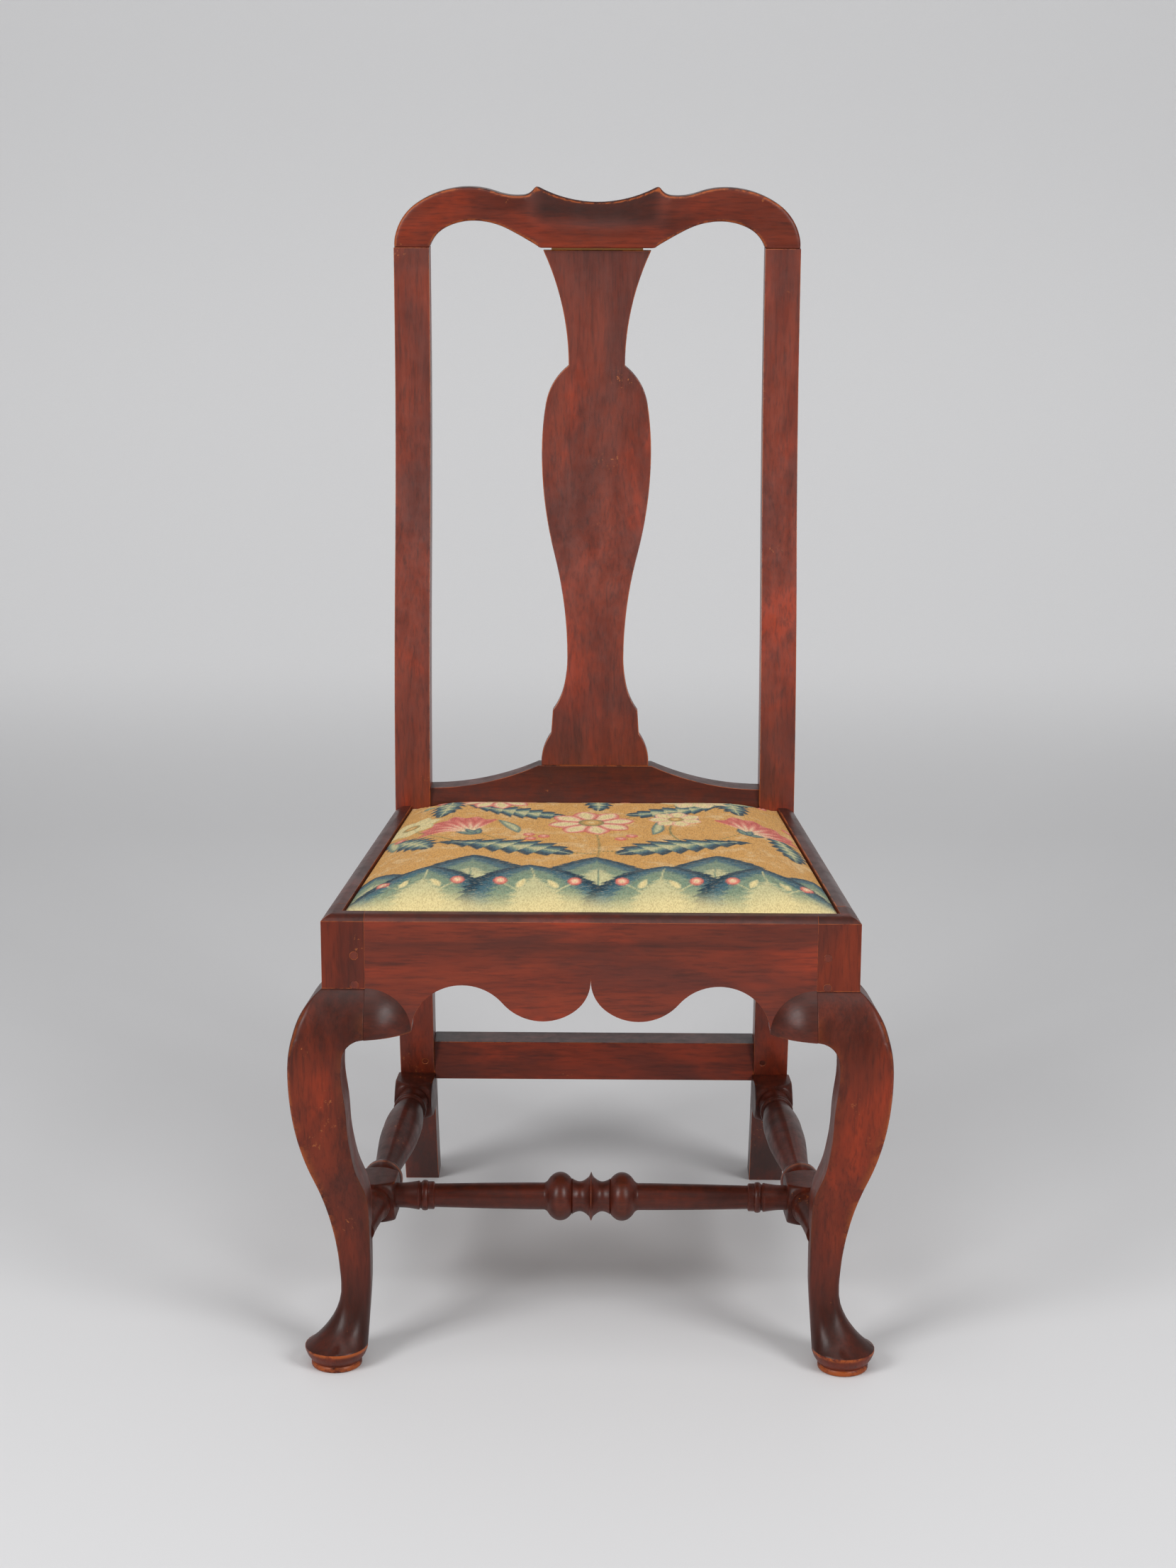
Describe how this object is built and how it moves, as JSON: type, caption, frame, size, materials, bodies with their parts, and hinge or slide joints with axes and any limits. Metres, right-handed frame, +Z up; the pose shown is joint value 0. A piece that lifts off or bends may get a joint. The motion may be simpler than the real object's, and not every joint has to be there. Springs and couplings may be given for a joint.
{
  "type": "side chair",
  "caption": "Wooden side chair with cabriole front legs, vase splat, spooned back, turned stretchers and a drop-in needlework seat, for one person to sit on.",
  "frame": {"origin": "middle of the overall box, on the floor", "axes": "+X towards the right as seen from the front, +Y from the front to the back, +Z up"},
  "size_m": [0.5296, 0.508, 1.026],
  "materials": {
    "chair_wood": "old red-brown stain under worn satin polish",
    "peg_wood": "stained with the frame, end grain",
    "seat_frame_wood": "raw, planed",
    "linen_webbing": "coarse woven linen",
    "sackcloth": "open plain weave",
    "stuffing": "matted fibre",
    "needlework": "fine wool needlework on a gold ground",
    "iron": "dull forged iron"
  },
  "bodies": {
    "chair_frame": {"crest_rail": "chair_wood", "back_splat": "chair_wood", "splat_shoe": "chair_wood", "front_seat_rail": "chair_wood", "rear_seat_rail": "chair_wood", "medial_stretcher": "chair_wood", "rear_stretcher": "chair_wood", "front_leg_left": "chair_wood", "front_leg_right": "chair_wood", "rear_stile_left": "chair_wood", "rear_stile_right": "chair_wood", "side_seat_rail_left": "chair_wood", "side_seat_rail_right": "chair_wood", "knee_bracket_front_left": "chair_wood", "knee_bracket_front_right": "chair_wood", "knee_bracket_side_left": "chair_wood", "knee_bracket_side_right": "chair_wood", "corner_block_left": "chair_wood", "corner_block_right": "chair_wood", "side_stretcher_left": "chair_wood", "side_stretcher_right": "chair_wood", "front_rail_pegs": "peg_wood", "side_rail_front_pegs": "peg_wood", "side_rail_rear_pegs": "peg_wood", "rear_stretcher_pegs": "peg_wood"},
    "slip_seat": {"seat_frame_front": "seat_frame_wood", "seat_frame_back": "seat_frame_wood", "seat_frame_left": "seat_frame_wood", "seat_frame_right": "seat_frame_wood", "seat_frame_pegs": "seat_frame_wood", "webbing_lengthwise": "linen_webbing", "webbing_crosswise": "linen_webbing", "webbing_tacks": "iron", "sackcloth": "sackcloth", "seat_stuffing": "stuffing", "needlework_cover": "needlework", "cover_tacks": "iron"}
  },
  "joints": [
    {"name": "slip_seat_lift", "type": "slide", "parent": "chair_frame", "child": "slip_seat", "axis": [0, 0, 1], "range_m": [0, 0.12]}
  ]
}
